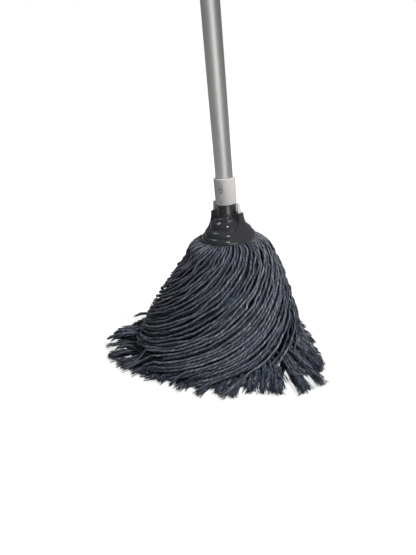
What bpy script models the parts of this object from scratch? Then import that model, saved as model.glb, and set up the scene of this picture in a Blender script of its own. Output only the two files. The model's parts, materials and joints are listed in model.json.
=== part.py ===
"""String mop: a tubular handle with a plastic adaptor, and a mop head that unclips from it.

The head is a stepped cap with two squeeze tabs, which clamps a skirt of yarn. The handle's axis is +Z, and
the origin is on the floor, on that axis. Azimuths run anticlockwise from +X, seen from above.
"""

import math

import bmesh
import bpy
from mathutils import Matrix, Vector

GAP = 0.0003  # air between pieces that touch on the real mop

# Handle tube and its two ends
TUBE_RADIUS = 0.0125
TUBE_WALL = 0.0012
TUBE_BOTTOM = 0.238
TUBE_TOP = 1.390
END_PLUG_DEPTH = 0.026
END_FLANGE_HEIGHT = 0.005
END_EAR_WIDTH = 0.022
END_EAR_THICKNESS = 0.009
END_EAR_HEIGHT = 0.034
HANG_HOLE_RADIUS = 0.0055

# Adaptor: a sleeve round the tube, and a spigot that drops into the cap's collar
SLEEVE_BOTTOM = 0.2312
SLEEVE_TOP = 0.269
SLEEVE_RADIUS = 0.0156
CORE_TOP = 0.262
SPIGOT_RADIUS = 0.0114
SPIGOT_BOTTOM = 0.2055
GROOVE_RADIUS = 0.0102
GROOVE_TOP = 0.2108
ADAPTOR_SCREW_AZIMUTH = math.radians(-119)
ADAPTOR_SCREW_Z = 0.253

# Cap
RIM_Z = 0.179
COLLAR_TOP = 0.2309
COLLAR_RADIUS = 0.0142
BORE_RADIUS = SPIGOT_RADIUS + 0.0004
BORE_FLOOR = 0.205
CAVITY_CEILING = 0.2025
POCKET_TOP = 0.219
POCKET_INNER = COLLAR_RADIUS + 0.0004
POCKET_REACH = 0.0241
POCKET_HALF_WIDTH = 0.0040
POCKET_WALL = 0.0014
WINDOW_HALF_WIDTH = 0.0027
WINDOW_TOP = 0.2115

# Squeeze tabs, one each side: levers that rock on two short pins inside the cap's pockets
TAB_AZIMUTHS = {"release_tab_right": math.radians(-40), "release_tab_left": math.radians(140)}
TAB_OUTER = 0.0230
TAB_THICKNESS = 0.0026
TAB_WIDTH = 0.0070
TAB_TIP_WIDTH = 0.0048
TAB_TOP = 0.2335
TAB_LEAN = 0.0010
HOOK_BOTTOM = 0.2069
HOOK_HEIGHT = 0.0028
HOOK_WIDTH = 0.0044
HOOK_INNER = 0.0123
PIVOT_RADIUS = 0.0217
PIVOT_Z = 0.2138
PIN_RADIUS = 0.0012
PIN_HALF_LENGTH = 0.0047

# Yarn clamp inside the cap
BOSS_CIRCLE = 0.0130
BOSS_RADIUS = 0.0035
BOSS_BOTTOM = 0.1870
CLAMP_SCREWS = 3
PLATE_RADIUS = 0.0240
PLATE_TOP = BOSS_BOTTOM - GAP
PLATE_THICKNESS = 0.0030
RING_RADIUS = 0.0205
RING_SECTION = 0.0022
RING_Z = 0.1945

# Yarn skirt
BUNDLES = 14
SKIRT_TOP = 0.1783
SKIRT_NECK = 0.041
SKIRT_INNER = 0.0244
SKIRT_SWIRL = math.radians(-60)
BUNDLE_GAP = 0.0006
CORE_GAP = 0.0014
FOOT_HEIGHT = 0.012


def clear_scene():
    for obj in list(bpy.data.objects):
        bpy.data.objects.remove(obj, do_unlink=True)


def make_material(name, colour, roughness, metallic=0.0):
    material = bpy.data.materials.new(name)
    material.use_nodes = True
    shader = material.node_tree.nodes["Principled BSDF"]
    shader.inputs["Base Color"].default_value = (*colour, 1.0)
    shader.inputs["Roughness"].default_value = roughness
    shader.inputs["Metallic"].default_value = metallic
    material.diffuse_color = (*colour, 1.0)
    return material


def make_empty(name):
    empty = bpy.data.objects.new(name, None)
    bpy.context.scene.collection.objects.link(empty)
    return empty


def add_object(name, shape, material=None, parent=None):
    """Links a bmesh as an object, with its faces turned outwards and its round sides smooth."""
    bmesh.ops.recalc_face_normals(shape, faces=shape.faces)
    mesh = bpy.data.meshes.new(name)
    shape.to_mesh(mesh)
    shape.free()
    mesh.shade_smooth()
    mesh.set_sharp_from_angle(angle=math.radians(35))
    if material:
        mesh.materials.append(material)
    obj = bpy.data.objects.new(name, mesh)
    obj.parent = parent
    bpy.context.scene.collection.objects.link(obj)
    return obj


def as_cutter(obj):
    obj.hide_render = True
    obj.display_type = "WIRE"
    return obj


def combine(obj, other, operation):
    modifier = obj.modifiers.new(f"{operation.lower()}_{other.name}", "BOOLEAN")
    modifier.operation = operation
    modifier.object = as_cutter(other)
    modifier.solver = "EXACT"


def turned(outline, segments=48):
    """A closed outline of (radius, height) points, spun about the Z axis."""
    shape = bmesh.new()
    points = [shape.verts.new((radius, 0, height)) for radius, height in outline]
    edges = [shape.edges.new((a, b)) for a, b in zip(points, points[1:] + points[:1])]
    bmesh.ops.spin(
        shape, geom=points + edges, cent=(0, 0, 0), axis=(0, 0, 1), dvec=(0, 0, 0),
        angle=2 * math.pi, steps=segments, use_merge=True, use_duplicate=False,
    )
    bmesh.ops.remove_doubles(shape, verts=shape.verts, dist=1e-6)
    lone = [edge for edge in shape.edges if not edge.link_faces]
    bmesh.ops.delete(shape, geom=lone, context="EDGES")
    return shape


def block(size, centre=(0, 0, 0)):
    shape = bmesh.new()
    place = Matrix.Translation(Vector(centre)) @ Matrix.Diagonal((*size, 1))
    bmesh.ops.create_cube(shape, size=1, matrix=place)
    return shape


def rod(radius, length, segments=24):
    """A cylinder that starts at the origin and runs along +X."""
    shape = bmesh.new()
    place = Matrix.Translation((length / 2, 0, 0)) @ Matrix.Rotation(math.pi / 2, 4, "Y")
    bmesh.ops.create_cone(
        shape, cap_ends=True, segments=segments, radius1=radius, radius2=radius,
        depth=length, matrix=place,
    )
    return shape


def plate_of(outline, depth):
    """A closed outline of (x, z) points, extruded along Y to both sides of the XZ plane."""
    shape = bmesh.new()
    face = shape.faces.new([shape.verts.new((x, -depth / 2, z)) for x, z in outline])
    grown = bmesh.ops.extrude_face_region(shape, geom=[face])["geom"]
    moved = [item for item in grown if isinstance(item, bmesh.types.BMVert)]
    bmesh.ops.translate(shape, verts=moved, vec=(0, depth, 0))
    return shape


def loft(rings):
    """A closed solid through rings of points, each ring with the same number of corners."""
    shape = bmesh.new()
    rings = [[shape.verts.new(point) for point in ring] for ring in rings]
    last = len(rings[0]) - 1
    for upper, lower in zip(rings, rings[1:]):
        for i in range(last):
            shape.faces.new((upper[i], upper[i + 1], lower[i + 1]))
            shape.faces.new((upper[i], lower[i + 1], lower[i]))
        # The last wall is split from its other corner, so that neighbouring yarn bundles lie flush.
        shape.faces.new((upper[last], upper[0], lower[last]))
        shape.faces.new((upper[0], lower[0], lower[last]))
    shape.faces.new(rings[0])
    shape.faces.new(rings[-1][::-1])
    return shape


def turn_to(shape, azimuth, centre=(0, 0, 0)):
    """Turns a shape to an azimuth, then moves it to a centre."""
    bmesh.ops.transform(
        shape, matrix=Matrix.Translation(Vector(centre)) @ Matrix.Rotation(azimuth, 4, "Z"),
        verts=shape.verts,
    )
    return shape


def make_tube(material, parent):
    inner = TUBE_RADIUS - TUBE_WALL
    outline = [
        (TUBE_RADIUS, TUBE_TOP), (TUBE_RADIUS, TUBE_BOTTOM), (inner, TUBE_BOTTOM), (inner, TUBE_TOP),
    ]
    tube = add_object("handle_tube", turned(outline, 64), material, parent)
    hole = rod(0.0021, TUBE_RADIUS + 0.01)
    cutter = add_object(
        "tube_screw_hole", turn_to(hole, ADAPTOR_SCREW_AZIMUTH, (0, 0, ADAPTOR_SCREW_Z)), None, parent
    )
    combine(tube, cutter, "DIFFERENCE")


def ear_outline(steps=12):
    """The hanging ear from the front: straight sides under a half circle."""
    half = END_EAR_WIDTH / 2
    base = TUBE_TOP + END_FLANGE_HEIGHT / 2
    spring_line = TUBE_TOP + END_FLANGE_HEIGHT + END_EAR_HEIGHT - half
    arc = [
        (half * math.cos(math.pi * i / steps), spring_line + half * math.sin(math.pi * i / steps))
        for i in range(steps + 1)
    ]
    return [(half, base), *arc, (-half, base)]


def make_end_cap(material, parent):
    plug = TUBE_RADIUS - TUBE_WALL - GAP
    flange = TUBE_RADIUS + 0.0008
    low = TUBE_TOP + GAP
    high = TUBE_TOP + END_FLANGE_HEIGHT
    outline = [
        (0, high + 0.0035), (0.006, high + 0.0030), (0.0105, high + 0.0012), (flange, high - 0.0012),
        (flange, low), (plug, low), (plug, low - END_PLUG_DEPTH + 0.002),
        (plug - 0.002, low - END_PLUG_DEPTH), (0, low - END_PLUG_DEPTH),
    ]
    cap = add_object("handle_end_cap", turned(outline), material, parent)
    ear = add_object("end_cap_ear", plate_of(ear_outline(), END_EAR_THICKNESS), None, parent)
    combine(cap, ear, "UNION")
    hole_z = high + END_EAR_HEIGHT - END_EAR_WIDTH / 2
    hole = turn_to(rod(HANG_HOLE_RADIUS, 0.03), math.pi / 2, (0, -0.015, hole_z))
    combine(cap, add_object("hang_hole", hole, None, parent), "DIFFERENCE")


def make_adaptor(material, parent):
    socket = TUBE_RADIUS + GAP
    core = TUBE_RADIUS - TUBE_WALL - GAP
    shoulder = TUBE_BOTTOM - GAP
    outline = [
        (SLEEVE_RADIUS, SLEEVE_TOP - 0.0008), (SLEEVE_RADIUS - 0.0003, SLEEVE_BOTTOM + 0.0006),
        (SLEEVE_RADIUS - 0.0009, SLEEVE_BOTTOM), (SPIGOT_RADIUS, SLEEVE_BOTTOM),
        (SPIGOT_RADIUS, GROOVE_TOP), (GROOVE_RADIUS, GROOVE_TOP - 0.0008), (GROOVE_RADIUS, 0.2072),
        (SPIGOT_RADIUS - 0.0002, 0.2068), (SPIGOT_RADIUS - 0.001, SPIGOT_BOTTOM),
        (0, SPIGOT_BOTTOM), (0, CORE_TOP), (core - 0.001, CORE_TOP), (core, CORE_TOP - 0.001),
        (core, shoulder), (socket, shoulder), (socket, SLEEVE_TOP), (SLEEVE_RADIUS - 0.0008, SLEEVE_TOP),
    ]
    adaptor = add_object("handle_adaptor", turned(outline), material, parent)
    shank_hole = turn_to(rod(0.0020, 0.012), ADAPTOR_SCREW_AZIMUTH)
    bmesh.ops.translate(
        shank_hole, verts=shank_hole.verts,
        vec=(*(0.0065 * Vector((math.cos(ADAPTOR_SCREW_AZIMUTH), math.sin(ADAPTOR_SCREW_AZIMUTH)))),
             ADAPTOR_SCREW_Z),
    )
    combine(adaptor, add_object("adaptor_screw_hole", shank_hole, None, parent), "DIFFERENCE")
    seat = rod(0.0037, 0.006)
    bmesh.ops.translate(seat, verts=seat.verts, vec=(SLEEVE_RADIUS - 0.0008, 0, ADAPTOR_SCREW_Z))
    turn_to(seat, ADAPTOR_SCREW_AZIMUTH)
    combine(adaptor, add_object("screw_seat", seat, None, parent), "DIFFERENCE")


def screw_outline(head_radius, head_height, shank_radius, length):
    """Half outline of a pan-head screw whose head sits on height 0 and whose point is below."""
    return [
        (0, head_height), (0.55 * head_radius, head_height), (0.88 * head_radius, 0.75 * head_height),
        (head_radius, 0.35 * head_height), (head_radius, 0), (shank_radius, 0),
        (shank_radius, -0.8 * length), (0, -length),
    ]


def make_screw(name, material, parent, place, head_radius, shank_radius, length):
    """A cross-recess screw. Its own axis is +Z, with the head up, before it is placed."""
    head_height = 0.6 * head_radius
    screw = add_object(
        name, turned(screw_outline(head_radius, head_height, shank_radius, length), 24), material, parent
    )
    recess = block((1.25 * head_radius, 0.28 * head_radius, 0.9 * head_height), (0, 0, head_height))
    across = block((0.28 * head_radius, 1.25 * head_radius, 0.9 * head_height), (0, 0, head_height))
    for number, shape in enumerate((recess, across)):
        cutter = add_object(f"{name}_recess_{number}", shape, None, parent)
        cutter.matrix_local = place
        combine(screw, cutter, "DIFFERENCE")
    screw.matrix_local = place


def make_adaptor_screw(material, parent):
    out = SLEEVE_RADIUS - 0.0005
    place = (
        Matrix.Rotation(ADAPTOR_SCREW_AZIMUTH, 4, "Z")
        @ Matrix.Translation((out, 0, ADAPTOR_SCREW_Z))
        @ Matrix.Rotation(math.pi / 2, 4, "Y")
    )
    make_screw("adaptor_screw", material, parent, place, 0.0033, 0.0016, 0.0075)


def make_tab(name, azimuth, material, parent):
    """A lever drawn about its pins: a finger plate above, a hook below that reaches in through the collar."""
    levels = [  # height, distance in from the outer face, width
        (HOOK_BOTTOM, 0.0010, TAB_WIDTH - 0.0010), (HOOK_BOTTOM + 0.0010, 0, TAB_WIDTH),
        (POCKET_TOP + 0.001, 0, TAB_WIDTH), (TAB_TOP - 0.0010, 0, TAB_TIP_WIDTH),
        (TAB_TOP, 0.0006, TAB_TIP_WIDTH - 0.0012),
    ]
    rings = []
    for height, inset, width in levels:
        rise = (height - HOOK_BOTTOM) / (TAB_TOP - HOOK_BOTTOM)
        outer = TAB_OUTER - TAB_LEAN * rise**2 - inset - PIVOT_RADIUS
        inner = TAB_OUTER - TAB_LEAN * rise**2 - TAB_THICKNESS + inset - PIVOT_RADIUS
        half, z = width / 2, height - PIVOT_Z
        rings.append([(outer, -half, z), (outer, half, z), (inner, half, z), (inner, -half, z)])
    tab = add_object(name, loft(rings), material, parent)
    hook_outer = TAB_OUTER - TAB_THICKNESS / 2
    hook_z = HOOK_BOTTOM + HOOK_HEIGHT / 2 + 0.0001 - PIVOT_Z
    size = (hook_outer - HOOK_INNER, HOOK_WIDTH, HOOK_HEIGHT)
    hook = block(size, ((hook_outer + HOOK_INNER) / 2 - PIVOT_RADIUS, 0, hook_z))
    hook = add_object(f"{name}_hook", hook, None, parent)
    pins = rod(PIN_RADIUS, 2 * PIN_HALF_LENGTH, 16)
    pins = add_object(f"{name}_pins", turn_to(pins, math.pi / 2, (0, -PIN_HALF_LENGTH, 0)), None, parent)
    for piece in (tab, hook, pins):
        piece.location = (PIVOT_RADIUS * math.cos(azimuth), PIVOT_RADIUS * math.sin(azimuth), PIVOT_Z)
        piece.rotation_euler = (0, 0, azimuth)
    combine(tab, hook, "UNION")
    combine(tab, pins, "UNION")


def cap_outline():
    """Outside of the cap, solid to the axis: the collar, a small step, and three rounded tiers."""
    return [
        (0, COLLAR_TOP), (COLLAR_RADIUS - 0.0006, COLLAR_TOP), (COLLAR_RADIUS, COLLAR_TOP - 0.0006),
        (COLLAR_RADIUS, 0.2142), (0.0150, 0.2128), (0.0182, 0.2118), (0.0193, 0.2106), (0.0195, 0.2078),
        (0.0222, 0.2064), (0.0250, 0.2040), (0.0267, 0.2006), (0.0272, 0.1968),
        (0.0286, 0.1962), (0.0316, 0.1948), (0.0340, 0.1926), (0.0353, 0.1896), (0.0357, 0.1874),
        (0.0372, 0.1868), (0.0391, 0.1852), (0.0402, 0.1828), (0.0406, RIM_Z), (0, RIM_Z),
    ]


def cavity_outline():
    """Hollow under the cap, about 2 mm inside the tiers."""
    below = RIM_Z - 0.002
    return [
        (0, CAVITY_CEILING), (0.0200, CAVITY_CEILING), (0.0232, 0.2006), (0.0246, 0.1980),
        (0.0250, 0.1946), (0.0286, 0.1928), (0.0316, 0.1914), (0.0332, 0.1888), (0.0334, 0.1862),
        (0.0366, 0.1846), (0.0382, 0.1828), (0.0384, below), (0, below),
    ]


def fairing(azimuth):
    """Smooth flank from a tab pocket down to the rim: narrow at the top and wide at the rim."""
    levels = [  # height, outer radius, half width
        (POCKET_TOP, POCKET_REACH + POCKET_WALL, POCKET_HALF_WIDTH + 0.0018),
        (0.2110, 0.0262, 0.0063), (0.2040, 0.0273, 0.0088), (0.1970, 0.0300, 0.0150),
        (0.1900, 0.0353, 0.0215), (0.1835, 0.0393, 0.0252), (RIM_Z + 0.0004, 0.0405, 0.0264),
    ]
    inner = 0.010
    rings = []
    for height, radius, half in levels:
        spread = math.asin(half / radius)
        arc = [
            (radius * math.cos(a), radius * math.sin(a), height)
            for a in (spread * (i / 4 - 1) for i in range(9))
        ]
        rings.append([(inner, -half, height), *arc, (inner, half, height)])
    return turn_to(loft(rings), azimuth)


def boss_places():
    return [math.radians(18) + 2 * math.pi * i / CLAMP_SCREWS for i in range(CLAMP_SCREWS)]


def pocket_cuts():
    """What one tab needs: an open-topped pocket, a window through the collar, and sockets for its pins."""
    middle = (POCKET_INNER + POCKET_REACH) / 2
    height = 0.020
    pocket = block(
        (POCKET_REACH - POCKET_INNER, 2 * POCKET_HALF_WIDTH, height), (middle, 0, BORE_FLOOR + height / 2)
    )
    window_height = WINDOW_TOP - BORE_FLOOR
    window = block((0.006, 2 * WINDOW_HALF_WIDTH, window_height), (0.0130, 0, BORE_FLOOR + window_height / 2))
    reach = PIN_HALF_LENGTH + GAP
    sockets = rod(PIN_RADIUS + GAP, 2 * reach, 16)
    turn_to(sockets, math.pi / 2, (PIVOT_RADIUS, -reach, PIVOT_Z))
    return (("pocket", pocket), ("window", window), ("sockets", sockets))


def make_cap(material, parent):
    cap = add_object("mop_cap", turned(cap_outline()), material, parent)
    for name, azimuth in TAB_AZIMUTHS.items():
        combine(cap, add_object(f"flank_{name}", fairing(azimuth), None, parent), "UNION")
    combine(cap, add_object("cap_cavity", turned(cavity_outline()), None, parent), "DIFFERENCE")
    bore_top = COLLAR_TOP + 0.01
    bore = [(0, bore_top), (BORE_RADIUS, bore_top), (BORE_RADIUS, BORE_FLOOR), (0, BORE_FLOOR)]
    combine(cap, add_object("collar_bore", turned(bore), None, parent), "DIFFERENCE")
    for name, azimuth in TAB_AZIMUTHS.items():
        for label, shape in pocket_cuts():
            combine(cap, add_object(f"{label}_{name}", turn_to(shape, azimuth), None, parent), "DIFFERENCE")
    boss_top = CAVITY_CEILING + 0.0012
    for number, azimuth in enumerate(boss_places(), 1):
        centre = (BOSS_CIRCLE * math.cos(azimuth), BOSS_CIRCLE * math.sin(azimuth), 0)
        post = [(0, boss_top), (BOSS_RADIUS, boss_top), (BOSS_RADIUS, BOSS_BOTTOM), (0, BOSS_BOTTOM)]
        boss = turn_to(turned(post, 20), 0, centre)
        combine(cap, add_object(f"boss_{number}", boss, None, parent), "UNION")
        pilot_top = BOSS_BOTTOM + 0.011
        pilot = [(0, pilot_top), (0.0017, pilot_top), (0.0017, BOSS_BOTTOM - 0.01), (0, BOSS_BOTTOM - 0.01)]
        hole = turn_to(turned(pilot, 16), 0, centre)
        combine(cap, add_object(f"pilot_{number}", hole, None, parent), "DIFFERENCE")


def make_yarn_ring(material, parent):
    steps = 8
    section = [
        (RING_RADIUS + RING_SECTION * math.cos(-2 * math.pi * i / steps),
         RING_Z + RING_SECTION * math.sin(-2 * math.pi * i / steps))
        for i in range(steps)
    ]
    add_object("yarn_ring", turned(section, 36), material, parent)


def make_clamp_plate(material, parent):
    low = PLATE_TOP - PLATE_THICKNESS
    edge = 0.0008
    outline = [
        (0, PLATE_TOP), (PLATE_RADIUS - edge, PLATE_TOP), (PLATE_RADIUS, PLATE_TOP - edge),
        (PLATE_RADIUS, low + edge), (PLATE_RADIUS - edge, low), (0, low),
    ]
    plate = add_object("clamp_plate", turned(outline), material, parent)
    for number, azimuth in enumerate(boss_places(), 1):
        centre = (BOSS_CIRCLE * math.cos(azimuth), BOSS_CIRCLE * math.sin(azimuth), 0)
        through = [(0, PLATE_TOP + 0.01), (0.0020, PLATE_TOP + 0.01), (0.0020, low - 0.01), (0, low - 0.01)]
        hole = turn_to(turned(through, 16), 0, centre)
        combine(plate, add_object(f"plate_hole_{number}", hole, None, parent), "DIFFERENCE")


def make_clamp_screws(material, parent):
    seat = PLATE_TOP - PLATE_THICKNESS - GAP
    for number, azimuth in enumerate(boss_places(), 1):
        place = (
            Matrix.Translation((BOSS_CIRCLE * math.cos(azimuth), BOSS_CIRCLE * math.sin(azimuth), seat))
            @ Matrix.Rotation(math.pi, 4, "X")
        )
        make_screw(f"clamp_screw_{number}", material, parent, place, 0.0029, 0.0014, 0.012)


def skirt_inner(drop):
    """Radius between the core and the outer bundles. drop is 0 at the cap's rim and 1 on the floor."""
    return SKIRT_INNER + 0.046 * drop**0.8


def skirt_outer(drop, azimuth):
    """Radius of the skirt's outside: steep on the +X side, and spread wide on the -X side."""
    spread = ((1 - math.cos(azimuth)) / 2) ** 1.6
    reach = 0.064 + 0.082 * spread
    bell = SKIRT_NECK + reach * drop ** (0.46 + 0.39 * spread)
    near_floor = max(0.0, 1 - (1 - drop) * SKIRT_TOP / FOOT_HEIGHT)
    off_tuft = math.remainder(azimuth - math.radians(-45), 2 * math.pi) / math.radians(25)
    return bell + near_floor * (0.010 + 0.006 * spread + 0.030 * math.exp(-(off_tuft**2)))


def bundle_levels():
    """(height, inner radius, outer radius or None where the skirt's own outline rules, drop)."""
    in_cap = [(0.1919, 0.0281), (0.1886, 0.0326), (0.1858, 0.0328), (0.1826, 0.0377), (0.1785, 0.0379)]
    levels = [(height, SKIRT_INNER, outer, 0.0) for height, outer in in_cap]
    foot_drop = 1 - FOOT_HEIGHT / SKIRT_TOP
    below_cap = (0, 0.03, 0.08, 0.15, 0.24, 0.34, 0.44, 0.54, 0.64, 0.74, 0.84, foot_drop, 0.97, 1)
    return levels + [(SKIRT_TOP * (1 - drop), skirt_inner(drop), None, drop) for drop in below_cap]


def bundle_ring(number, level):
    """Corners of one bundle at one level: outside arc first, then the inside arc back again."""
    height, inner, outer, drop = level
    steps = 3
    width = 2 * math.pi / BUNDLES
    margin = BUNDLE_GAP / 2 / inner
    start = width * (number - 1) + SKIRT_SWIRL * drop**1.3 + margin
    azimuths = [start + (width - 2 * margin) * i / steps for i in range(steps + 1)]
    arc = [(outer or skirt_outer(drop, a), a) for a in azimuths] + [(inner, a) for a in azimuths[::-1]]
    return [(radius * math.cos(a), radius * math.sin(a), height) for radius, a in arc]


def make_bundle(number, material, parent):
    """One bundle of strands: a sector of the skirt, turned further round the axis as it goes down."""
    rings = [bundle_ring(number, level) for level in bundle_levels()]
    add_object(f"yarn_bundle_{number:02d}", loft(rings), material, parent)


def make_core(material, parent):
    """The inner strands, under the clamp plate, as one body with a flat foot on the floor."""
    top = PLATE_TOP - PLATE_THICKNESS - 0.0026
    neck = SKIRT_INNER - CORE_GAP
    outline = [(0, top), (neck, top), (neck, SKIRT_TOP)]
    for drop in (0.06, 0.15, 0.30, 0.50, 0.75, 1):
        outline.append((skirt_inner(drop) - CORE_GAP, SKIRT_TOP * (1 - drop)))
    outline.append((0, 0))
    add_object("yarn_core", turned(outline, 48), material, parent)


def main():
    clear_scene()
    aluminium = make_material("satin_aluminium", (0.62, 0.62, 0.61), 0.35, 1.0)
    white = make_material("white_plastic", (0.80, 0.79, 0.76), 0.45)
    grey = make_material("grey_plastic", (0.13, 0.135, 0.145), 0.25)
    steel = make_material("zinc_steel", (0.70, 0.70, 0.68), 0.30, 1.0)
    galvanised = make_material("ring_steel", (0.55, 0.56, 0.57), 0.40, 1.0)
    yarn = make_material("slate_yarn", (0.14, 0.16, 0.19), 0.90)

    head = make_empty("head")
    handle = make_empty("handle")
    make_cap(grey, head)
    for name, azimuth in TAB_AZIMUTHS.items():
        make_tab(name, azimuth, white, head)
    make_yarn_ring(galvanised, head)
    make_clamp_plate(grey, head)
    make_clamp_screws(steel, head)
    make_core(yarn, head)
    for number in range(1, BUNDLES + 1):
        make_bundle(number, yarn, head)
    make_tube(aluminium, handle)
    make_end_cap(grey, handle)
    make_adaptor(white, handle)
    make_adaptor_screw(steel, handle)
    bpy.context.view_layer.update()


main()
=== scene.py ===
"""Looks of the string mop: yarn, finishes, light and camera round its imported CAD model."""

import json
import math

import bmesh
import bpy
import numpy as np
from mathutils import Matrix, Vector
from mathutils.kdtree import KDTree


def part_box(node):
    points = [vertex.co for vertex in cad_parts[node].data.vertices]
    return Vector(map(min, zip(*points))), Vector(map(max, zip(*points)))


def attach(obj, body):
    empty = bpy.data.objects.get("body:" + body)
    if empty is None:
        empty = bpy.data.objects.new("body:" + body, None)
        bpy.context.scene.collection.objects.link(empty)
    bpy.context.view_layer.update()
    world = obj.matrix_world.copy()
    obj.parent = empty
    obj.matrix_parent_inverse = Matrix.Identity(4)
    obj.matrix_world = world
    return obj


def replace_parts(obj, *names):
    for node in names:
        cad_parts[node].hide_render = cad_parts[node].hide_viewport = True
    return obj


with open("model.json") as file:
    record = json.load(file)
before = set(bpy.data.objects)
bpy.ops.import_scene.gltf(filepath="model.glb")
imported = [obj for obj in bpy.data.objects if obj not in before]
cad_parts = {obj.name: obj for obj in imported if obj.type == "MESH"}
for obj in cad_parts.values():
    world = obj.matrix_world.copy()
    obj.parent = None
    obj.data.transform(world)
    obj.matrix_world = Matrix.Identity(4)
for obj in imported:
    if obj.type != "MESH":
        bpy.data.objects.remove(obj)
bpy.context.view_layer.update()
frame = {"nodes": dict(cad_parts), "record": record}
nodes = frame["nodes"]
rng = np.random.default_rng(11)

# Camera, in metres and radians
CAMERA_PLACE = (-0.0374, -0.681, 0.418)
CAMERA_PITCH = math.radians(23.9)  # below the horizon
CAMERA_ROLL = math.radians(-5.85)
CAMERA_LENS_MM = 20.757
CAMERA_SENSOR_MM = 24.0

# Light and stage
AMBIENT = 0.16  # strength of the light from all round
FLOOR_GLOW = 0.72  # lifts the floor that the camera sees to the photo's paper white

# Cap, adaptor and tabs
ROUNDED = ("mop_cap", "handle_adaptor", "release_tab_right", "release_tab_left")
EDGE_RADIUS = 0.0003
SHARP_ANGLE = math.radians(32)  # edges sharper than this are rounded, others are shaded smooth
FLAT_ANGLE = math.radians(0.5)  # neighbouring faces closer than this are one face

# Yarn, in metres
STRAND_RADIUS = 0.0021
STRAND_LENGTH = 0.300  # what the random wander of a strand is spread over
PLY_PITCH = 0.030
PLY_RADIUS = 0.0008  # of a single ply that has come loose
FLOOR_GAP = 0.0002  # how far above the floor the lowest fibre lies
RIM_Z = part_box("mop_cap")[0].z
NECK_Z = RIM_Z - 0.0026  # height of an outermost strand's middle as it passes under the rim
NECK_RADIUS = 0.0388
LAYER_PITCH = 0.0041
CORE_DEPTH = 0.0165  # how far the inner mass lies behind the skirt's outside
SIDEWAYS_WANDER, SIDEWAYS_KINKS = 0.0012, 0.0007
DEPTH_WANDER, DEPTH_KINKS = 0.0008, 0.0006
CAP_STEPS = (  # a strand's way in under the rim: how far inwards and how far up
    (0.0090, 0.0100), (0.0065, 0.0068), (0.0040, 0.0036), (0.0016, 0.0010),
)
WAY_DOWN_STEPS = 170
TAIL_STEPS = 16
HEM_TAIL_STEPS = 24
HEM_STRANDS = 180
HEM_POINTS = 36
HEM_PAINTED_SHADE = 0.2  # how deep in the shade the hem's extra ends are taken to lie
SETTLE_ROUNDS = 24
SETTLE_RADIUS = 0.0020  # how much painted shade by layer the hem's extra ends get, as if they lay that deep
FINE_LAYERS = 2  # the outer layers, which have finer rings and hold the strands made as pieces of their own
FRAY_LENGTH = 0.050  # of the end that opens into loose fibres
FRAY_FIBRES = 22
FRAY_HALF_WIDTH = (0.0055, 0.0095)  # least and most, at the tip
FIBRE_RADIUS = (0.00055, 0.00085)
LOOSE_PLIES = 26
LOOSE_POINTS = 48
STRAY_ENDS = (-31, -38, -62, -97, -121, -135, -150, -168, 170, 60, 20, 110)  # the hem's stray plies, in degrees
BUNDLES = 14
DECLARED = 40  # strands made as pieces of their own, one by one: those that reach furthest

# Yarn colours: (place on a ramp from 0 to 1, colour), multiplied with each other
HAIR_COLOURS = ((0.30, (0.021, 0.029, 0.043)), (0.5, (0.062, 0.071, 0.090)), (0.72, (0.280, 0.270, 0.272)))
PATCH_COLOURS = ((0.32, (0.60, 0.62, 0.66)), (0.68, (1.25, 1.25, 1.25)))
PAINTED_HIGHLIGHT_AND_SHADE_COLOURS = (  # from a painted highlight on a strand's crest to painted shade in the gap between strands
    (0.0, (2.75, 2.66, 2.54)), (0.14, (0.98, 0.99, 1.0)), (0.32, (0.33, 0.40, 0.475)),
    (0.6, (0.078, 0.112, 0.158)), (1.0, (0.022, 0.035, 0.056)),
)
SHADE_COLOURS = ((0.0, (0.60, 0.63, 0.68)), (1.0, (1.28, 1.25, 1.22)))  # each strand's own
PAINTED_DEPTH_SHADE_COLOURS = ((0.0, (1.0, 1.0, 1.0)), (0.4, (0.38, 0.45, 0.54)), (1.0, (0.11, 0.15, 0.22)))  # painted shade by layer, darker and bluer for deeper layers


def add_camera():
    camera = bpy.data.objects.new("camera", bpy.data.cameras.new("camera"))
    bpy.context.scene.collection.objects.link(camera)
    camera.data.sensor_fit = "VERTICAL"
    camera.data.sensor_height = CAMERA_SENSOR_MM
    camera.data.lens = CAMERA_LENS_MM
    camera.data.clip_start = 0.01
    turn = Matrix.Rotation(math.pi / 2 - CAMERA_PITCH, 4, "X") @ Matrix.Rotation(CAMERA_ROLL, 4, "Z")
    camera.matrix_world = Matrix.Translation(CAMERA_PLACE) @ turn
    bpy.context.scene.camera = camera


# ---------------------------------------------------------------- materials


def new_material(name):
    material = bpy.data.materials.new(name)
    material.use_nodes = True
    tree = material.node_tree
    shader = tree.nodes["Principled BSDF"]
    return material, tree, shader


def ramp(tree, source, stops):
    """A colour ramp fed by a socket; stops are (position, colour)."""
    made = tree.nodes.new("ShaderNodeValToRGB")
    tree.links.new(source, made.inputs["Fac"])
    elements = made.color_ramp.elements
    while len(elements) < len(stops):
        elements.new(0.5)
    for element, (position, colour) in zip(elements, stops):
        element.position = position
        element.color = (*colour, 1.0)
    return made.outputs["Color"]


def grey(value):
    return (value, value, value)


def noise(tree, vector, scale, detail, roughness):
    made = tree.nodes.new("ShaderNodeTexNoise")
    made.inputs["Scale"].default_value = scale
    made.inputs["Detail"].default_value = detail
    made.inputs["Roughness"].default_value = roughness
    tree.links.new(vector, made.inputs["Vector"])
    return made.outputs["Fac"]


def attribute(tree, name):
    made = tree.nodes.new("ShaderNodeAttribute")
    made.attribute_name = name
    return made.outputs["Vector"]


def object_place(tree, scale=(1, 1, 1)):
    """The object's own coordinates, scaled differently along each axis."""
    place = tree.nodes.new("ShaderNodeTexCoord")
    mapping = tree.nodes.new("ShaderNodeMapping")
    mapping.inputs["Scale"].default_value = scale
    tree.links.new(place.outputs["Object"], mapping.inputs["Vector"])
    return mapping.outputs["Vector"]


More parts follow.
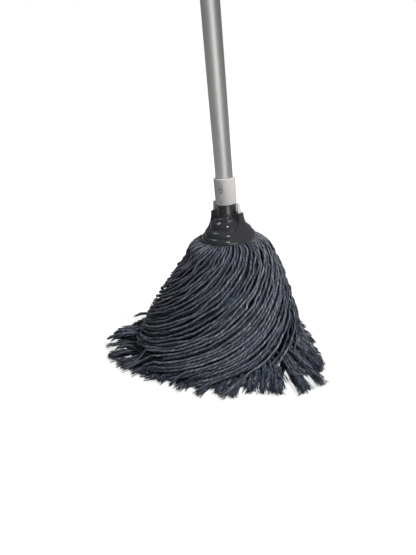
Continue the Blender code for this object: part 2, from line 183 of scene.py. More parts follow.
def bump(tree, shader, height, distance, strength):
    made = tree.nodes.new("ShaderNodeBump")
    made.inputs["Distance"].default_value = distance
    made.inputs["Strength"].default_value = strength
    tree.links.new(height, made.inputs["Height"])
    tree.links.new(made.outputs["Normal"], shader.inputs["Normal"])


def multiplied(tree, *colours):
    """The product of several colour sockets."""
    result = colours[0]
    for colour in colours[1:]:
        made = tree.nodes.new("ShaderNodeMix")
        made.data_type = "RGBA"
        made.blend_type = "MULTIPLY"
        factor, first, second = (made.inputs[k] for k in (0, 6, 7))  # the colour sockets among A and B
        factor.default_value = 1.0
        tree.links.new(result, first)
        tree.links.new(colour, second)
        result = made.outputs[2]
    return result


def mix_by_camera_ray(tree, lights, seen, output):
    """One shader for what the camera sees directly, another for what lights the scene."""
    rays = tree.nodes.new("ShaderNodeLightPath")
    mix = tree.nodes.new("ShaderNodeMixShader")
    tree.links.new(rays.outputs["Is Camera Ray"], mix.inputs[0])
    tree.links.new(lights.outputs[0], mix.inputs[1])
    tree.links.new(seen.outputs[0], mix.inputs[2])
    tree.links.new(mix.outputs[0], tree.nodes[output].inputs["Surface"])


def aluminium_material():
    material, tree, shader = new_material("satin_aluminium")
    grain = noise(tree, object_place(tree, (900, 900, 14)), 1.0, 3.0, 0.6)
    clouds = noise(tree, object_place(tree, (30, 30, 9)), 1.0, 4.0, 0.55)
    colour = ramp(tree, clouds, [(0.3, (0.67, 0.655, 0.635)), (0.7, (0.74, 0.725, 0.70))])
    tree.links.new(colour, shader.inputs["Base Color"])
    tree.links.new(ramp(tree, clouds, [(0.3, grey(0.46)), (0.75, grey(0.54))]), shader.inputs["Roughness"])
    bump(tree, shader, grain, 0.00001, 0.3)
    shader.inputs["Metallic"].default_value = 1.0
    return material


def plastic_material(name, dark, light, roughness, speckle):
    """Moulded plastic: a fine speckle, faint clouds of wear, and a fine moulded texture."""
    material, tree, shader = new_material(name)
    specks = noise(tree, object_place(tree), speckle, 3.0, 0.7)
    clouds = noise(tree, object_place(tree), 60.0, 4.0, 0.6)
    tree.links.new(ramp(tree, specks, [(0.35, dark), (0.62, light)]), shader.inputs["Base Color"])
    worn = ramp(tree, clouds, [(0.3, grey(roughness - 0.05)), (0.75, grey(roughness + 0.08))])
    tree.links.new(worn, shader.inputs["Roughness"])
    bump(tree, shader, specks, 0.00002, 0.6)
    return material


def metal_material(name, colour, roughness):
    material, tree, shader = new_material(name)
    scuffs = noise(tree, object_place(tree), 700.0, 4.0, 0.6)
    dull = tuple(0.8 * channel for channel in colour)
    tree.links.new(ramp(tree, scuffs, [(0.3, dull), (0.7, colour)]), shader.inputs["Base Color"])
    worn = ramp(tree, scuffs, [(0.3, grey(roughness)), (0.7, grey(roughness + 0.12))])
    tree.links.new(worn, shader.inputs["Roughness"])
    bump(tree, shader, scuffs, 0.00002, 0.5)
    shader.inputs["Metallic"].default_value = 1.0
    return material


def yarn_material():
    """Plied yarn. The attribute fibre runs round and along each strand and follows its twist; tone holds painted
    shade between plies and strands with a painted highlight on each crest, the strand's own shade, and painted
    shade that deepens with the strand's layer.
    """
    material, tree, shader = new_material("slate_yarn")
    fibre = attribute(tree, "fibre")
    tone_and_painted_shade = tree.nodes.new("ShaderNodeSeparateXYZ")
    tree.links.new(attribute(tree, "tone_and_painted_shade"), tone_and_painted_shade.inputs[0])
    hairs = noise(tree, fibre, 2.6, 4.0, 0.62)
    patches = noise(tree, fibre, 0.6, 2.0, 0.5)
    colour = multiplied(
        tree,
        ramp(tree, hairs, HAIR_COLOURS),
        ramp(tree, patches, PATCH_COLOURS),
        # painted highlight on the crests, painted shade between plies and strands and on their sides
        ramp(tree, tone_and_painted_shade.outputs["X"], PAINTED_HIGHLIGHT_AND_SHADE_COLOURS),
        ramp(tree, tone_and_painted_shade.outputs["Y"], SHADE_COLOURS),
        # painted shade, darker for deeper layers
        ramp(tree, tone_and_painted_shade.outputs["Z"], PAINTED_DEPTH_SHADE_COLOURS),
    )
    tree.links.new(colour, shader.inputs["Base Color"])
    bump(tree, shader, hairs, 0.0005, 0.9)
    shader.inputs["Roughness"].default_value = 0.62
    shader.inputs["Specular IOR Level"].default_value = 0.35
    shader.inputs["Sheen Weight"].default_value = 0.12
    shader.inputs["Sheen Roughness"].default_value = 0.45
    shader.inputs["Sheen Tint"].default_value = (0.80, 0.86, 1.0, 1.0)
    return material


# ---------------------------------------------------------------- the skirt's shape


def spread_at(azimuth):
    """0 on the right, where the skirt is narrow, to 1 on the left, where it sprawls."""
    return ((1 - np.cos(azimuth)) / 2) ** 1.6


def near(azimuth, degrees, width):
    """1 at a direction, falling to 0 away from it; width in degrees."""
    off = (azimuth - math.radians(degrees) + math.pi) % (2 * math.pi) - math.pi
    return np.exp(-((off / math.radians(width)) ** 2))


def eased(value, low, high):
    """0 below low, 1 above high, and a smooth step between."""
    part = np.clip((value - low) / (high - low), 0, 1)
    return part * part * (3 - 2 * part)


def round_axis(radius, azimuth, height):
    """Points, from their distance from the handle's axis, their direction and their height."""
    return np.stack(np.broadcast_arrays(radius * np.cos(azimuth), radius * np.sin(azimuth), height), axis=-1)


def interpolated(at, along, values):
    """Points or vectors of one line at other lengths along it."""
    return np.stack([np.interp(at, along, values[:, k]) for k in range(3)], axis=1)


def smooth(lines, strength):
    """Draws the inner points of each line towards the middle of their neighbours, in place."""
    lines[:, 1:-1] += strength * ((lines[:, 2:] + lines[:, :-2]) / 2 - lines[:, 1:-1])


def skirt_radius(azimuth, drop):
    """Radius of the yarn's outside. drop is 0 under the cap's rim and 1 on the floor."""
    spread = spread_at(azimuth)
    flare = 0.064 + 0.082 * spread  # how much wider it is on the floor than at the neck
    curve = 0.46 + 0.39 * spread  # round under the rim on the right, straighter on the left
    bell = NECK_RADIUS + 0.0022 + flare * np.maximum(drop, 1e-6) ** curve
    shoulder_drop = 0.035
    shoulder = 0.011 * spread * (drop / shoulder_drop) * np.exp(1 - drop / shoulder_drop)
    tucked = (0.018 * spread + 0.010 * near(azimuth, -120, 34)) * drop**4
    return bell + shoulder - tucked


def swirl_rate(azimuth, drop):
    """How fast a strand goes round as it goes down, in radians per unit of drop, clockwise from above."""
    left = (1 - np.cos(azimuth)) / 2
    straight = 0.85 * near(azimuth, -12, 17) * eased(drop, 0.35, 0.65)  # the steep side hangs straight
    return (1.75 + 1.05 * drop + 1.7 * drop**3) * (1 + 0.12 * left) * (1 - straight)


def wander(count, along, size, lengths=(0.05, 0.09, 0.16)):
    """Smooth random wander of each strand, zero at its start; lengths are its waves' lengths in metres."""
    total = np.zeros((count, len(along)))
    for length in lengths:
        phase = rng.uniform(0, 2 * math.pi, (count, 1))
        rate = 2 * math.pi / length * rng.uniform(0.75, 1.3, (count, 1))
        total += rng.normal(0, size, (count, 1)) * np.sin(phase + rate * along)
    return total * np.clip(along / 0.05, 0, 1)


def kinks(count, along, size):
    """The short crinkles that yarn keeps from being twisted and folded."""
    fades = np.clip(0.5 + wander(count, along, 0.5, (0.07, 0.12)), 0, 1.3)
    return wander(count, along, size, (0.013, 0.019, 0.027)) * fades


def hem_reach(azimuth):
    """How far from the handle's axis the yarn's ends lie: far on the left and at the right front."""
    bumps = 0.051 * near(azimuth, -57, 18) + 0.023 * near(azimuth, -96, 42) + 0.064 * near(azimuth, -185, 32)
    return 0.115 + 0.032 * spread_at(azimuth) + bumps


def pile_height(azimuth):
    """How high the ends are heaped."""
    return 0.003 + 0.030 * near(azimuth, -200, 26) + 0.007 * near(azimuth, -45, 24)


def tails(start, steps):
    """Points of the strands' ends, from where they leave the skirt, swirling on and out to the hem."""
    count = len(start)
    azimuth = np.arctan2(start[:, 1], start[:, 0])
    radius = np.hypot(start[:, 0], start[:, 1])
    # how far round each end lies from where it leaves the skirt: furthest at the right and the right front
    swing = rng.uniform(0.05, 0.24, count) + 0.34 * near(azimuth, -10, 17) + 0.20 * near(azimuth, -72, 40)
    end = azimuth - swing
    reach = np.maximum(hem_reach(end) * rng.uniform(0.82, 1.03, count), radius + 0.009)
    pile = rng.uniform(0, 1, count) * pile_height(end)
    points = []
    for i in range(steps):
        part = (i + 1) / steps
        turned = azimuth - swing * (1.35 * part - 0.35 * part**2)
        out = radius + (reach - radius) * part**1.25
        height = STRAND_RADIUS + (start[:, 2] - STRAND_RADIUS) * (1 - part) ** 1.4
        height = height + pile * math.sin(2.4 * part)
        points.append(round_axis(out, turned, height))
    return np.stack(points, axis=1)


def strand_paths(starts, layer, points, lift):
    """Middle lines of strands, (count, points, 3), and the skirt's outward normals along them.

    starts are their directions under the rim, layer counts inwards from the outside, and lift is how high above
    the floor the ends of the strands on the sprawling side may leave the skirt.
    """
    count = len(starts)
    way_down = np.linspace(0, 1, WAY_DOWN_STEPS) ** 1.25
    azimuth = np.empty((count, WAY_DOWN_STEPS))
    azimuth[:, 0] = starts
    for i in range(1, WAY_DOWN_STEPS):
        step = way_down[i] - way_down[i - 1]
        half = azimuth[:, i - 1] - swirl_rate(azimuth[:, i - 1], way_down[i - 1]) * step / 2
        azimuth[:, i] = azimuth[:, i - 1] - swirl_rate(half, way_down[i - 1] + step / 2) * step

    # where each leaves the skirt, and how it strays from its way
    last = 1 - rng.uniform(0, 1, count) * lift * (0.15 + spread_at(azimuth[:, -1])) / NECK_Z
    drops = way_down[None, :] * last[:, None]
    azimuth = np.stack([np.interp(drop, way_down, line) for drop, line in zip(drops, azimuth)])
    along = np.linspace(0, STRAND_LENGTH, WAY_DOWN_STEPS)
    sideways = wander(count, along, SIDEWAYS_WANDER) + kinks(count, along, SIDEWAYS_KINKS)
    azimuth += sideways / np.maximum(skirt_radius(azimuth, drops), 0.05)

    # the place under the skirt's outside, by the slope of the surface there
    surface = skirt_radius(azimuth, drops)
    plain_height = (NECK_Z - STRAND_RADIUS) * (1 - drops) + STRAND_RADIUS
    rise = -np.gradient(surface, axis=1) / np.gradient(plain_height, axis=1)
    slope = np.hypot(1, rise)
    depth = STRAND_RADIUS + layer * LAYER_PITCH
    depth = depth + wander(count, along, DEPTH_WANDER) + kinks(count, along, DEPTH_KINKS)
    radius = surface - depth / slope
    height = np.maximum(plain_height - (depth - STRAND_RADIUS) * rise / slope, STRAND_RADIUS)
    path = round_axis(radius, azimuth, height)
    normal = np.stack([np.cos(azimuth) / slope, np.sin(azimuth) / slope, rise / slope], axis=2)

    # up into the cap
    inside = []
    for back, up in CAP_STEPS:
        flat = path[:, 0, :2] * (1 - (back + 0.0012 * layer) / np.maximum(radius[:, :1], 0.01))
        inside.append(np.concatenate([flat, path[:, 0, 2:] + up], axis=1))
    path = np.concatenate([np.stack(inside, axis=1), path], axis=1)
    normal = np.concatenate([np.repeat(normal[:, :1], len(CAP_STEPS), axis=1), normal], axis=1)

    # out over the floor
    path = np.concatenate([path, tails(path[:, -1], TAIL_STEPS)], axis=1)
    normal = np.concatenate([normal, upwards(count, TAIL_STEPS)], axis=1)
    return resampled(path, normal, points)


def upwards(count, points):
    """Normals that all point straight up."""
    return np.broadcast_to([0.0, 0.0, 1.0], (count, points, 3)).copy()


def hem_paths(count, points):
    """Ends of the strands from deep inside, which come out under the others and fill the hem."""
    around = np.linspace(-math.pi, math.pi, 720, endpoint=False)
    crowded = 0.09 * near(around, -168, 34) + 0.08 * near(around, -38, 17)
    weight = np.cumsum(hem_reach(around) - 0.100 + crowded)
    middle = np.interp((np.arange(count) + rng.uniform(0.2, 0.8, count)) / count * weight[-1], weight, around)
    start_radius = skirt_radius(middle, 1.0) * rng.uniform(0.55, 0.75, count)
    start = round_axis(start_radius, middle, rng.uniform(0.006, 0.020, count))
    path = np.concatenate([start[:, None], tails(start, HEM_TAIL_STEPS)], axis=1)
    return resampled(path, upwards(*path.shape[:2]), points)


def resampled(path, normal, points):
    """The same lines with evenly spaced points, and smoother."""
    new_path = np.empty((len(path), points, 3))
    new_normal = np.empty_like(new_path)
    for s in range(len(path)):
        steps = np.linalg.norm(np.diff(path[s], axis=0), axis=1)
        along = np.concatenate([[0], np.cumsum(steps)])
        at = np.linspace(0, along[-1], points)
        new_path[s] = interpolated(at, along, path[s])
        new_normal[s] = interpolated(at, along, normal[s])
    for _ in range(3):
        smooth(new_path, 0.5)
        smooth(new_normal, 0.5)
    new_normal /= np.linalg.norm(new_normal, axis=2, keepdims=True)
    return new_path, new_normal


def split(points, layers):
    """Cuts one long list of points back into arrays shaped like the layers."""
    ends = np.cumsum([path.shape[0] * path.shape[1] for path in layers])[:-1]
    return [part.reshape(path.shape) for part, path in zip(np.split(points, ends), layers)]


def settle(layers):
    """Pushes strands that overlap apart, keeping each near its own way and smooth, and above the floor."""
    radius = SETTLE_RADIUS
    starts = np.concatenate([path.reshape(-1, 3) for path in layers])
    strand = np.concatenate(
        [np.repeat(np.arange(path.shape[0]) + 1000 * k, path.shape[1]) for k, path in enumerate(layers)]
    )
    order = np.concatenate([np.tile(np.arange(path.shape[1]), path.shape[0]) for path in layers])
    loose = np.clip((order - 5) / 6, 0, 1)[:, None]  # the cap holds each strand's first points
    place = starts.copy()
    for turn in range(SETTLE_ROUNDS):
        if turn % 4 == 0:  # neighbours are looked for again
            tree = KDTree(len(place))
            for i, point in enumerate(place):
                tree.insert(point, i)
            tree.balance()
            pairs = np.array([
                (i, j)
                for i, point in enumerate(place)
                for _, j, _ in tree.find_range(point, 2.6 * radius)
                if j > i and strand[i] != strand[j]
            ])
        gap = place[pairs[:, 1]] - place[pairs[:, 0]]
        far = np.linalg.norm(gap, axis=1, keepdims=True)
        push = np.maximum(2 * radius - far, 0) * gap / np.maximum(far, 1e-6)
        touching = (far < 2 * radius).astype(float)
        move = np.zeros_like(place)
        touches = np.full((len(place), 1), 1e-6)
        for side, way in ((0, -push), (1, push)):
            np.add.at(move, pairs[:, side], way)
        for side in (0, 1):
            np.add.at(touches, pairs[:, side], touching)
        place += 0.7 * move / np.maximum(touches, 1) * loose
        away = split((place - starts) * (1 - 0.03 * loose), layers)
        for part in away:
            smooth(part, 0.45)
        place = starts + np.concatenate([part.reshape(-1, 3) for part in away])
        place[:, 2] = np.maximum(place[:, 2], radius)
    return split(place, layers)


# ---------------------------------------------------------------- strands as meshes


def lengths_along(path):
    steps = np.linalg.norm(np.diff(path, axis=1), axis=2)
    return np.concatenate([np.zeros((len(path), 1)), np.cumsum(steps, axis=1)], axis=1)


def directions(path, normal):
    """The sideways and upward unit vectors at each point of each line."""
    tangent = np.gradient(path, axis=1)
    tangent /= np.linalg.norm(tangent, axis=2, keepdims=True)
    side = np.cross(tangent, normal)
    side /= np.maximum(np.linalg.norm(side, axis=2, keepdims=True), 1e-9)
    return side, np.cross(side, tangent)


def strand_rings(path, normal, sides, radius, depth):
    """Ring points of plied strands: three lobes that twist, thin where the cap grips them, flat at the end.

    Returns points (count, rings, sides, 3) with their fibre and tone attributes; depth is the painted shade of
    the strand's layer.
    """
    count = len(path)
    along = lengths_along(path)
    left = along[:, -1:] - along
    side, up = directions(path, normal)
    angle = np.linspace(0, 2 * math.pi, sides, endpoint=False)[None, None, :]
    twist = (2 * math.pi * along / PLY_PITCH + rng.uniform(0, 2 * math.pi, (count, 1)))[:, :, None]
    lobe = np.abs(np.cos(1.5 * (angle - twist))) ** 0.8  # 1 on the three plies, 0 between them
    uneven = 1 + wander(count, along[0], 0.04) + wander(count, along[0], 0.05, (0.007, 0.011))
    size = radius * (0.80 + 0.20 * np.clip(along / 0.03, 0, 1)) * uneven
    frayed = eased(1 - left / FRAY_LENGTH, 0, 1)
    ending = np.clip(left / 0.012, 0.15, 1) ** 0.5  # thins out under the loose fibres
    wide = size * (1 + 0.95 * frayed) * ending
    thin = size * (1 - 0.55 * frayed) * ending
    shape = 0.78 + 0.22 * lobe
    x = (wide[:, :, None] * shape * np.cos(angle))[..., None]
    y = (thin[:, :, None] * shape * np.sin(angle))[..., None]
    points = path[:, :, None, :] + x * side[:, :, None, :] + y * up[:, :, None, :]
    points[..., 2] = np.maximum(points[..., 2], FLOOR_GAP)
    painted_side_shade = eased(0.95 - np.sin(angle), 0.0, 1.5)  # painted shade on the sides and the back, between and behind strands
    # painted shade between the plies and on the sides; where it is 0, on the crest, a painted highlight
    painted_highlight_and_shade = np.clip(0.36 * (1 - lobe) + painted_side_shade, 0, 1)
    return (points, *yarn_coordinates(angle - twist, along[:, :, None], painted_highlight_and_shade, depth))


def yarn_coordinates(around, along, painted_highlight_and_shade, depth):
    """The fibre and tone attributes of rings, from the untwisted angle round a strand, the length along it, the
    painted highlight and shade round it and the painted shade of its layer.
    """
    count = len(around)
    seed = rng.uniform(0, 60, (count,) + (1,) * (around.ndim - 1))
    shade = rng.uniform(0, 1, (count,) + (1,) * (around.ndim - 1))
    around, run, painted_highlight_and_shade = np.broadcast_arrays(around, along * 45 + seed, painted_highlight_and_shade)
    fibre = np.stack([np.cos(around), np.sin(around), run], axis=-1)
    tone_and_painted_shade = np.stack([painted_highlight_and_shade, shade + 0 * run, depth + 0 * run], axis=-1)
    return fibre, tone_and_painted_shade


def frayed_ends(path, normal):
    """The loose fibres that each strand's end opens into: flat brushes, cut unevenly."""
    count, fibres, sides, rings = len(path), FRAY_FIBRES, 3, 7
    along = lengths_along(path)
    side, up = directions(path, normal)
    part = np.linspace(0, 1, rings)
    centre = np.empty((count, fibres, rings, 3))
    sides_at, ups_at = np.empty_like(centre), np.empty_like(centre)

    # x is how far to the side of the strand's middle a fibre lies, y how far above it
    extra = rng.uniform(-0.003, 0.002, (count, fibres))
    x_start = rng.uniform(-0.9, 0.9, (count, fibres, 1)) * STRAND_RADIUS
    x_end = np.linspace(-1, 1, fibres)[None, :, None] * rng.uniform(*FRAY_HALF_WIDTH, (count, 1, 1))
    x_end = x_end + rng.normal(0, 0.0010, (count, fibres, 1))
    y_start = rng.uniform(-0.3, 0.6, (count, fibres, 1)) * STRAND_RADIUS
    y_end = rng.uniform(-0.6, 0.5, (count, fibres, 1)) * STRAND_RADIUS
    curl = rng.normal(0, 0.0006, (count, fibres, 1)) * np.sin(
        2 * math.pi * (part * rng.uniform(0.6, 1.6, (count, fibres, 1)) + rng.uniform(0, 1, (count, fibres, 1)))
    )

    for s in range(count):
        total = along[s, -1]
        tip_way = path[s, -1] - path[s, -3]
        tip_way /= np.linalg.norm(tip_way)
        for f in range(fibres):
            at = total - FRAY_LENGTH + part * (FRAY_LENGTH + extra[s, f])
            centre[s, f] = interpolated(at, along[s], path[s])
            centre[s, f] += np.maximum(at - total, 0)[:, None] * tip_way
            sides_at[s, f] = interpolated(at, along[s], side[s])
            ups_at[s, f] = interpolated(at, along[s], up[s])
    x = x_start + (x_end - x_start) * part**1.6 + curl * part
    y = y_start + (y_end - y_start) * part + 0.4 * curl
    centre += x[..., None] * sides_at + y[..., None] * ups_at
    centre = centre.reshape(count * fibres, rings, 3)
    sides_at = sides_at.reshape(count * fibres, rings, 1, 3)
    ups_at = ups_at.reshape(count * fibres, rings, 1, 3)

    thick = rng.uniform(*FIBRE_RADIUS, (count * fibres, 1)) * (1 - 0.5 * part**2)
    centre[..., 2] = np.maximum(centre[..., 2], thick + FLOOR_GAP)
    angle = np.linspace(0, 2 * math.pi, sides, endpoint=False)[None, None, :]
    points = centre[:, :, None, :] + thick[:, :, None, None] * (
        np.cos(angle)[..., None] * sides_at + np.sin(angle)[..., None] * ups_at
    )
    points[..., 2] = np.maximum(points[..., 2], FLOOR_GAP)
    run = (part * FRAY_LENGTH)[None, :, None] + 0 * angle
    # the loose fibres get an even painted half shade and no painted shade by layer
    return (points, *yarn_coordinates(angle + np.zeros((count * fibres, rings, 1)), run, 0.25, 0.0))


def strand_piece(name, parts, material):
    """One mesh object of closed tubes; parts are (points, fibre, tone) with points (count, rings, sides, 3)."""
    faces, total = [], 0
    for points, _, _ in parts:
        count, rings, sides = points.shape[:3]
        strand = total + np.arange(count)[:, None, None] * rings * sides
        ring = np.arange(rings - 1)[None, :, None] * sides
        a = strand + ring + np.arange(sides)
        b = strand + ring + (np.arange(sides) + 1) % sides
        quads = np.stack([a, b, b + sides, a + sides], axis=3).reshape(-1, 4)[:, ::-1]
        first = strand[:, 0] + np.arange(sides)
        last = first + (rings - 1) * sides
        faces += quads.tolist() + first.tolist() + last[:, ::-1].tolist()
        total += count * rings * sides
    mesh = bpy.data.meshes.new(name)
    mesh.from_pydata(np.concatenate([p.reshape(-1, 3) for p, _, _ in parts]).tolist(), [], faces)
    for key, index in (("fibre", 1), ("tone_and_painted_shade", 2)):
        layer = mesh.attributes.new(key, "FLOAT_VECTOR", "POINT")
        values = np.concatenate([part[index].reshape(-1) for part in parts])
        layer.data.foreach_set("vector", values.astype(np.float32))
    mesh.shade_smooth()
    mesh.materials.append(material)
    piece = bpy.data.objects.new(name, mesh)
    bpy.context.scene.collection.objects.link(piece)
    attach(piece, "head")
    return piece


def core_piece(material):
    """The closed mass of yarn that lies behind the strands, ribbed along their swirl and painted in the deepest
    shade.
    """
    around, rows, ribs = 252, 48, 42
    azimuth = np.linspace(-math.pi, math.pi, around, endpoint=False)[None, :]
    drop = np.linspace(0.03, 0.985, rows)[:, None]
    swirl = (1.75 * drop + 0.52 * drop**2 + 0.42 * drop**4) * (1 + 0.06 * (1 - np.cos(azimuth)))
    rib = np.abs(np.cos(ribs / 2 * (azimuth + swirl)))
    radius = skirt_radius(azimuth, drop) - CORE_DEPTH + 0.003 * rib
    height = NECK_Z * (1 - drop)
    points = round_axis(radius, azimuth, height)[None, ::-1]
    run = 0.28 * drop[::-1] + 0 * azimuth  # rough length down the surface
    # painted shade: deep gap shade and the deepest layer shade, as it lies behind all the strands
    skin = (points, *yarn_coordinates(azimuth[None], run[None], 0.8, 1.0))
    return strand_piece("yarn_core_skin", [skin], material)


def even_starts(count, shift):
    """Directions of a layer's strands under the rim, nearly even."""
    return (np.arange(count) + shift + rng.uniform(-0.25, 0.25, count)) * 2 * math.pi / count


def loose_threads(path, normal):
    """Single plies that have come loose: some lie across the outermost strands, some curl over the floor."""
    part = np.linspace(0, 1, LOOSE_POINTS)
    order = np.arange(path.shape[1])
    lines = []
    for s in rng.choice(len(path), LOOSE_PLIES, replace=False):
        first = rng.uniform(0.30, 0.75)
        at = (first + part * rng.uniform(0.10, 0.22)) * order[-1]
        middle = interpolated(at, order, path[s])
        outwards = interpolated(at, order, normal[s])
        across = np.cross(np.gradient(middle, axis=0), outwards)
        across /= np.linalg.norm(across, axis=1, keepdims=True)
        drift = rng.uniform(-0.016, 0.016) * part
        drift = drift + 0.0016 * np.sin(2 * math.pi * (part * rng.uniform(1.5, 3.0) + rng.uniform()))
        lines.append(middle + across * drift[:, None] + outwards * (STRAND_RADIUS + 0.0006))
    # one hangs off the right front and curls back under itself
    sway = 0.078 + 0.013 * np.sin(2 * math.pi * 1.12 * part)
    lines.append(np.stack([sway, -0.130 - 0.008 * part, 0.016 + 0.064 * (1 - part) ** 1.8], axis=1))
    for azimuth in np.radians(STRAY_ENDS):
        reach = hem_reach(azimuth) * rng.uniform(0.84, 0.92)
        wave = np.sin(2 * math.pi * (part * rng.uniform(0.5, 1.1) + rng.uniform()))
        turned = azimuth - 0.10 * part + 0.05 * wave * part
        out = reach + part * rng.uniform(0.010, 0.020)
        lines.append(round_axis(out, turned, 0.0009 + 0.004 * (1 - part)))
    lines = np.stack(lines)
    lines[..., 2] = np.maximum(lines[..., 2], 0.0009)
    return strand_rings(lines, upwards(*lines.shape[:2]), 6, PLY_RADIUS, 0.0)


def make_yarn():
    """All the yarn: strands down from the cap in four layers, the hem's extra ends, brushes, plies and core."""
    plans = [  # directions under the rim, layer, points, lift
        (even_starts(64, 0.0), 0.0, 140, 0.030),
        (even_starts(54, 0.5), 1.25, 130, 0.020),
        (even_starts(48, 0.2), 2.3, 110, 0.010),
        (even_starts(40, 0.7), 3.3, 90, 0.0),
    ]
    made = [strand_paths(*plan) for plan in plans] + [hem_paths(HEM_STRANDS, HEM_POINTS)]
    paths = settle([path for path, _ in made])
    material = yarn_material()
    reach = np.concatenate([np.hypot(path[:, -1, 0], path[:, -1, 1]) for path in paths[:FINE_LAYERS]])
    furthest = set(np.argsort(-reach)[:DECLARED].tolist())
    groups = [[] for _ in range(BUNDLES)]
    number = index = 0
    for layer, (path, (_, normal)) in enumerate(zip(paths, made)):
        sides = 10 if layer < FINE_LAYERS else 6
        # painted shade by layer: the deeper the layer, the darker it is painted
        depth = 0.33 * layer if layer < len(plans) else HEM_PAINTED_SHADE
        for s in range(len(path)):
            rings = strand_rings(path[s : s + 1], normal[s : s + 1], sides, STRAND_RADIUS, depth)
            if layer < FINE_LAYERS and index in furthest:
                number += 1
                piece = strand_piece(f"yarn_strand_{number:02d}", [rings], material)
            else:
                neck = path[s, 2 * len(CAP_STEPS)]
                start = math.atan2(neck[1], neck[0]) % (2 * math.pi)
                groups[int(start / (2 * math.pi) * BUNDLES) % BUNDLES].append(rings)
            index += 1
    for k, parts in enumerate(groups):
        piece = strand_piece(f"yarn_strands_{k + 1:02d}", parts, material)
        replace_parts(piece, f"yarn_bundle_{k + 1:02d}")
    for k, path in enumerate(paths):
        strand_piece(f"yarn_ends_{k + 1}", [frayed_ends(path, made[k][1])], material)
    strand_piece("yarn_loose_threads", [loose_threads(paths[0], made[0][1])], material)
    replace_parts(core_piece(material), "yarn_core")


# ---------------------------------------------------------------- stage and light


def add_stage():
    bpy.ops.mesh.primitive_plane_add(size=12, location=(0, 0, -0.0002))
    floor = bpy.context.object
    floor.name = "floor"
    material, tree, shader = new_material("pale_floor")
    shader.inputs["Base Color"].default_value = (0.36, 0.36, 0.36, 1)
    shader.inputs["Roughness"].default_value = 0.9
    shader.inputs["Specular IOR Level"].default_value = 0.0
    shader.inputs["Emission Color"].default_value = (1, 1, 1, 1)
    shader.inputs["Emission Strength"].default_value = FLOOR_GLOW
    bounce = tree.nodes.new("ShaderNodeBsdfDiffuse")
    bounce.inputs["Color"].default_value = (0.30, 0.30, 0.31, 1)
    mix_by_camera_ray(tree, bounce, shader, "Material Output")
    floor.data.materials.append(material)
    world = bpy.data.worlds.new("studio")
    bpy.context.scene.world = world
    world.use_nodes = True
    tree = world.node_tree
    ambient = tree.nodes["Background"]
    ambient.inputs["Strength"].default_value = AMBIENT
    ambient.inputs["Color"].default_value = (0.96, 0.98, 1.0, 1)
    backdrop = tree.nodes.new("ShaderNodeBackground")
    backdrop.inputs["Color"].default_value = (1, 1, 1, 1)
    mix_by_camera_ray(tree, ambient, backdrop, "World Output")
    bpy.context.scene.view_settings.view_transform = "Standard"


def add_sun(name, azimuth, elevation, strength, softness):
    """A distant light; azimuth and elevation say where it is, softness how wide, all in degrees."""
    light = bpy.data.lights.new(name, "SUN")
    light.energy = strength
    light.angle = math.radians(softness)
    lamp = bpy.data.objects.new(name, light)
    bpy.context.scene.collection.objects.link(lamp)
    around, above = math.radians(azimuth), math.radians(elevation)
    source = Vector((math.cos(above) * math.cos(around), math.cos(above) * math.sin(around), math.sin(above)))
    lamp.rotation_euler = source.to_track_quat("Z", "Y").to_euler()
    return lamp


def add_light(name, place, target, size, power, colour=(1, 1, 1), height=None):
    """A round softbox, or one that stands upright when it has a height."""
    light = bpy.data.lights.new(name, "AREA")
    light.shape = "DISK"
    if height:
        light.shape = "RECTANGLE"
        light.size_y = height
    light.size = size
    light.energy = power
    light.color = colour
    lamp = bpy.data.objects.new(name, light)
    bpy.context.scene.collection.objects.link(lamp)
    lamp.location = place
    lamp.rotation_euler = (Vector(target) - Vector(place)).to_track_quat("-Z", "Y").to_euler()
    lamp.visible_camera = False
    return lamp


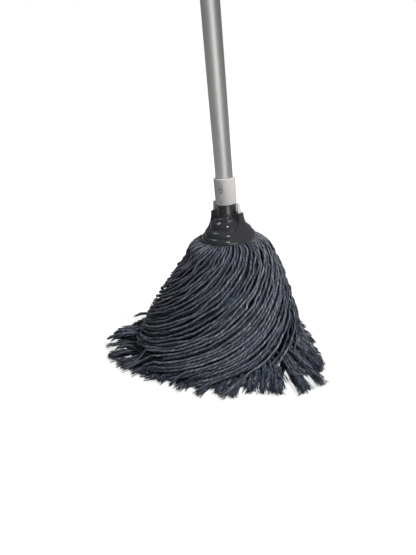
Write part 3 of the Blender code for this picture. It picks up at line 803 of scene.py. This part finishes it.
def rounded_piece(name, material, body):
    """A finer piece in a CAD node's place: its edges rounded as moulded, its round faces shaded smooth."""
    mesh = nodes[name].data.copy()
    mesh.name = f"{name}_fine"
    work = bmesh.new()
    work.from_mesh(mesh)
    bmesh.ops.remove_doubles(work, verts=work.verts, dist=1e-6)
    bmesh.ops.dissolve_limit(work, angle_limit=FLAT_ANGLE, verts=work.verts, edges=work.edges)
    work.to_mesh(mesh)
    work.free()
    mesh.materials.clear()
    mesh.materials.append(material)
    piece = bpy.data.objects.new(f"{name}_fine", mesh)
    bpy.context.scene.collection.objects.link(piece)
    bevel = piece.modifiers.new("edges", "BEVEL")
    bevel.width = EDGE_RADIUS
    bevel.segments = 2
    bevel.limit_method = "ANGLE"
    bevel.angle_limit = SHARP_ANGLE
    bpy.context.view_layer.update()
    fine = bpy.data.meshes.new_from_object(piece.evaluated_get(bpy.context.evaluated_depsgraph_get()))
    piece.modifiers.clear()
    piece.data = fine
    fine.shade_smooth()
    fine.set_sharp_from_angle(angle=SHARP_ANGLE)
    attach(piece, body)
    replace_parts(piece, name)


def finish_cad():
    """Materials of the cap, the handle and their fittings, and finer pieces for those with rounded edges."""
    plastics = {  # slot: name, dark and light colour of the speckle, roughness, speckles to a metre
        "adaptor": ("white_plastic", (0.53, 0.508, 0.485), (0.63, 0.61, 0.585), 0.50, 900.0),
        "tab": ("white_tab_plastic", (0.56, 0.55, 0.53), (0.64, 0.63, 0.61), 0.36, 900.0),
        "cap": ("grey_plastic", (0.028, 0.0285, 0.031), (0.035, 0.0356, 0.039), 0.17, 600.0),
        "end_cap": ("black_plastic", (0.030, 0.030, 0.032), (0.040, 0.040, 0.043), 0.45, 600.0),
        "plate": ("plate_plastic", (0.05, 0.05, 0.055), (0.06, 0.06, 0.065), 0.5, 600.0),
    }
    finishes = {slot: plastic_material(*values) for slot, values in plastics.items()}
    finishes["tube"] = aluminium_material()
    finishes["screw"] = metal_material("zinc_steel", (0.62, 0.61, 0.58), 0.28)
    finishes["ring"] = metal_material("wire_steel", (0.45, 0.45, 0.46), 0.35)
    bodies = {name: body for body, names in frame["record"]["behaviour"]["bodies"].items() for name in names}
    for part in frame["record"]["subparts"]:
        name, slot = part["node"], part["material_slot"]
        if name in ROUNDED:
            rounded_piece(name, finishes[slot], bodies[name])
        elif slot in finishes:
            mesh = nodes[name].data
            mesh.materials.clear()
            mesh.materials.append(finishes[slot])


add_camera()
make_yarn()
finish_cad()
add_stage()
sun = add_sun("key", azimuth=-33, elevation=50, strength=3.6, softness=9)
sun.visible_glossy = False
# the lamp makes the cap's small highlights
lamp = add_light("lamp", (-0.15, -1.25, 1.42), (0, 0, 0.20), size=0.18, power=8.0)
lamp.visible_diffuse = False
add_light("front", (0.42, -1.88, 0.27), (0, 0, 0.27), size=1.2, power=6.5, height=0.54)
add_light("rim", (-0.8, 0.5, 1.5), (0, 0, 0.15), size=0.3, power=1.9, colour=(0.72, 0.87, 1.0))
add_light("back", (0.3, 2.2, 1.3), (0, 0, 0.2), size=1.2, power=22.0)
